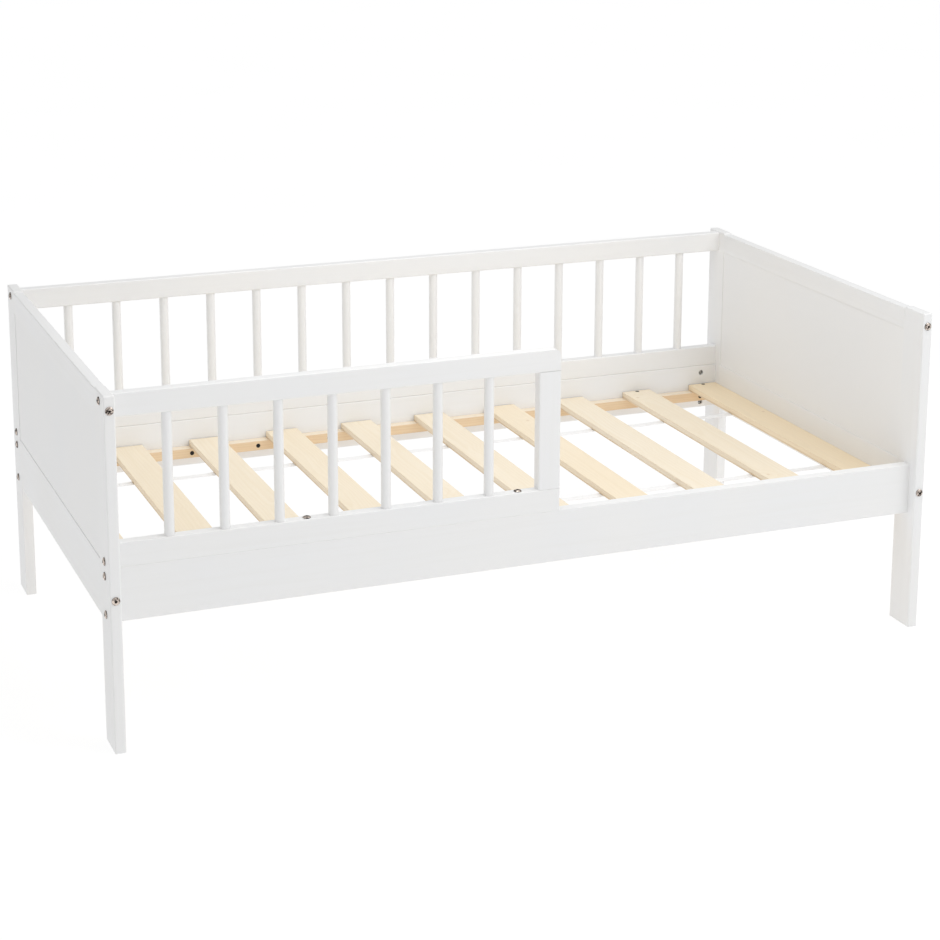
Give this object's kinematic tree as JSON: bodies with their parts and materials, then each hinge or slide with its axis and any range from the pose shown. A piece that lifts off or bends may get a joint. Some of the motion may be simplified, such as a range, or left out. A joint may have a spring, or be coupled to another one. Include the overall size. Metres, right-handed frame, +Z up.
{
  "type": "toddler bed",
  "caption": "White painted pine toddler bed with panelled ends, a spindle guard along the back, a half-length spindle guard at the front, and a natural pine slatted base.",
  "frame": {"origin": "on the floor, at the centre of the bed's outline", "axes": "+X along the bed towards the end beside the open entry, -Y the front with the half guard, +Y the back with the full guard, +Z up"},
  "size_m": [1.4456, 0.7854, 0.5725],
  "materials": {
    "white_paint": "satin white paint over solid pine and flush panels",
    "slat_pine": "planed bare pine, pale",
    "ledger_pine": "planed bare pine, darker and warmer",
    "webbing": "plain woven polyester tape",
    "bolt_nickel": "satin nickel plate",
    "nut_zinc": "dull zinc plate",
    "screw_black": "black phosphate"
  },
  "bodies": {
    "root": {"post_front_left": "white_paint", "post_back_left": "white_paint", "post_front_right": "white_paint", "post_back_right": "white_paint", "end_top_rail_left": "white_paint", "end_low_rail_left": "white_paint", "end_panel_left": "white_paint", "end_top_rail_right": "white_paint", "end_low_rail_right": "white_paint", "end_panel_right": "white_paint", "side_rail_front": "white_paint", "side_rail_back": "white_paint", "ledger_front": "ledger_pine", "ledger_back": "ledger_pine", "slat_1": "slat_pine", "slat_2": "slat_pine", "slat_3": "slat_pine", "slat_4": "slat_pine", "slat_5": "slat_pine", "slat_6": "slat_pine", "slat_7": "slat_pine", "slat_8": "slat_pine", "slat_9": "slat_pine", "slat_10": "slat_pine", "back_guard_top_rail": "white_paint", "back_guard_low_rail": "white_paint", "back_spindle_1": "white_paint", "back_spindle_2": "white_paint", "back_spindle_3": "white_paint", "back_spindle_4": "white_paint", "back_spindle_5": "white_paint", "back_spindle_6": "white_paint", "back_spindle_7": "white_paint", "back_spindle_8": "white_paint", "back_spindle_9": "white_paint", "back_spindle_10": "white_paint", "back_spindle_11": "white_paint", "back_spindle_12": "white_paint", "back_spindle_13": "white_paint", "back_spindle_14": "white_paint", "back_spindle_15": "white_paint", "front_guard_top_rail": "white_paint", "front_guard_low_rail": "white_paint", "front_guard_stile": "white_paint", "front_spindle_1": "white_paint", "front_spindle_2": "white_paint", "front_spindle_3": "white_paint", "front_spindle_4": "white_paint", "front_spindle_5": "white_paint", "front_spindle_6": "white_paint", "front_spindle_7": "white_paint", "tape_front": "webbing", "tape_back": "webbing", "rail_bolts": "bolt_nickel", "barrel_nuts": "nut_zinc", "connector_screws": "bolt_nickel", "ledger_screws": "screw_black", "slat_screws": "screw_black", "tape_staples": "nut_zinc"}
  },
  "joints": []
}
